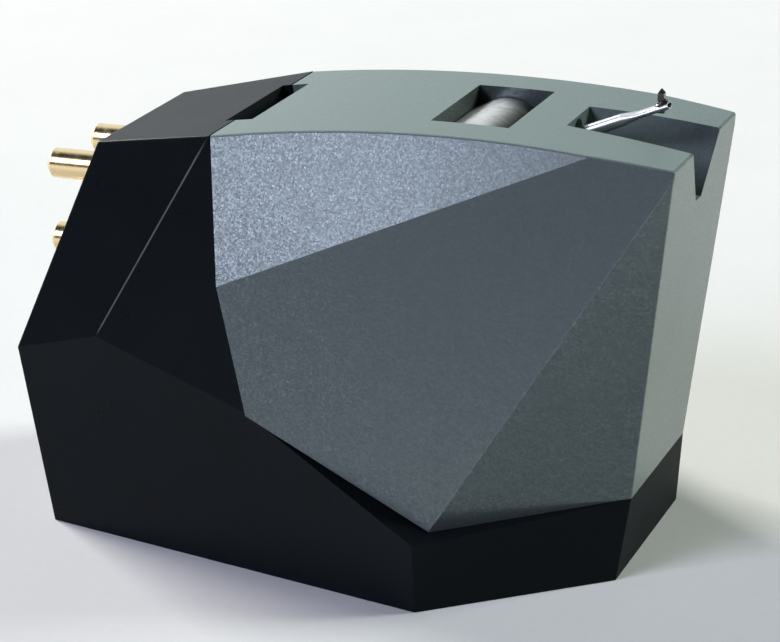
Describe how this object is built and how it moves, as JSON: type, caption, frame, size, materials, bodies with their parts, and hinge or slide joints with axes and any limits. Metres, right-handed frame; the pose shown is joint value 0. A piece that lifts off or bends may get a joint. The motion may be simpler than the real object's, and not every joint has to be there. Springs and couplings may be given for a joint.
{
  "type": "turntable stylus cartridge",
  "caption": "Faceted moving-magnet cartridge with a black body, a pull-off grey stylus unit, a sprung cantilever with a diamond tip and gold terminal pins.",
  "frame": {"origin": "midway between the two mounting holes, on the mounting face", "axes": "+X to the stylus end, +Y to the side that is hidden in the picture, +Z from the mounting face to the stylus tip"},
  "size_m": [0.0262, 0.0186, 0.018],
  "materials": {
    "black_plastic": "satin",
    "grey_plastic": "sparkling satin",
    "brass": "machined",
    "shield_metal": "brushed",
    "pole_metal": "satin",
    "plate_plastic": "matt",
    "tube_metal": "satin",
    "wire_steel": "drawn",
    "rubber": "matt",
    "magnet": "ground",
    "aluminium": "bright",
    "diamond": "polished",
    "bobbin_plastic": "matt",
    "copper": "enamelled",
    "gold": "polished plating"
  },
  "bodies": {
    "body": {"cartridge_body": "black_plastic", "mount_insert_right": "brass", "mount_insert_left": "brass", "nose_shield": "shield_metal", "coil_shield": "shield_metal", "yoke_front": "pole_metal", "yoke_rear": "pole_metal", "terminal_plate": "plate_plastic", "pole_right_upper": "pole_metal", "bobbin_right_upper": "bobbin_plastic", "winding_right_upper": "copper", "coil_lead_right_upper": "copper", "terminal_pin_right_upper": "gold", "pole_left_upper": "pole_metal", "bobbin_left_upper": "bobbin_plastic", "winding_left_upper": "copper", "coil_lead_left_upper": "copper", "terminal_pin_left_upper": "gold", "pole_left_lower": "pole_metal", "bobbin_left_lower": "bobbin_plastic", "winding_left_lower": "copper", "coil_lead_left_lower": "copper", "terminal_pin_left_lower": "gold", "pole_right_lower": "pole_metal", "bobbin_right_lower": "bobbin_plastic", "winding_right_lower": "copper", "coil_lead_right_lower": "copper", "terminal_pin_right_lower": "gold"},
    "stylus_unit": {"stylus_housing": "grey_plastic", "carrier_tube": "tube_metal", "wire_anchor": "brass", "tie_wire": "wire_steel"},
    "suspension": {"damper_ring": "rubber"},
    "cantilever_arm": {"cantilever": "aluminium", "magnet": "magnet", "diamond": "diamond"}
  },
  "joints": [
    {"name": "stylus_pull", "type": "slide", "parent": "body", "child": "stylus_unit", "axis": [0.9272, 0, 0.3746], "range_m": [0, 0.012]},
    {"name": "cantilever_yaw", "type": "hinge", "parent": "stylus_unit", "child": "suspension", "pos_m": [0.00421, 0, 0.01518], "axis": [-0.3746, 0, 0.9272], "range_deg": [-3, 3], "stiffness_Nm_per_rad": 0.00157},
    {"name": "cantilever_pitch", "type": "hinge", "parent": "suspension", "child": "cantilever_arm", "pos_m": [0.00421, 0, 0.01518], "axis": [0, 1, 0], "range_deg": [-3, 6], "stiffness_Nm_per_rad": 0.00157}
  ]
}
